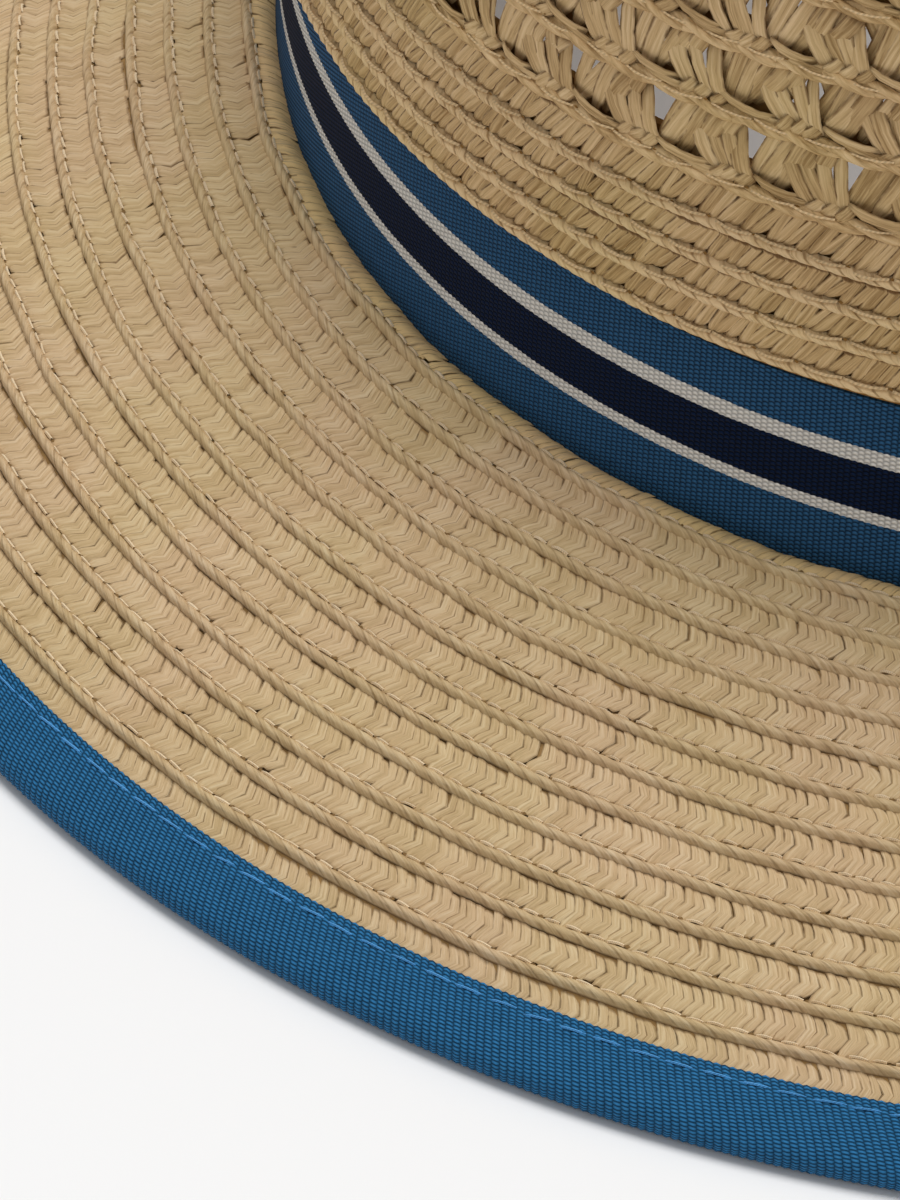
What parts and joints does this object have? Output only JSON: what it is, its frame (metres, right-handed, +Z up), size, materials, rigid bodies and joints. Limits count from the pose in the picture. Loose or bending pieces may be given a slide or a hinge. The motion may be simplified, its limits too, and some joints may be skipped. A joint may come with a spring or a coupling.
{
  "type": "straw boater hat",
  "caption": "Boater hat of sewn straw braid with an openwork crown, a striped ribbon round its foot and a ribbon-bound brim that falls to its edge.",
  "frame": {"origin": "middle of the hat's footprint, on the surface that its brim's edge rests on", "axes": "+Z up through the crown, -Y towards the wearer's front, so +Y runs back along the long way of the oval and +X towards the wearer's left"},
  "size_m": [0.2934, 0.3058, 0.1026],
  "materials": {
    "brim_straw": "dry matte herringbone braid of paper straw, light tan",
    "crown_straw": "dry matte paper straw, darker tan, openwork rows between twisted cords",
    "striped_ribbon": "ribbed grosgrain, blue edges, thin grey lines and a navy middle",
    "blue_ribbon": "ribbed blue grosgrain with a running stitch"
  },
  "bodies": {
    "root": {"brim": "brim_straw", "crown_side": "crown_straw", "crown_lace": "crown_straw", "crown_tip": "crown_straw", "hat_band": "striped_ribbon", "brim_binding": "blue_ribbon"}
  },
  "joints": []
}
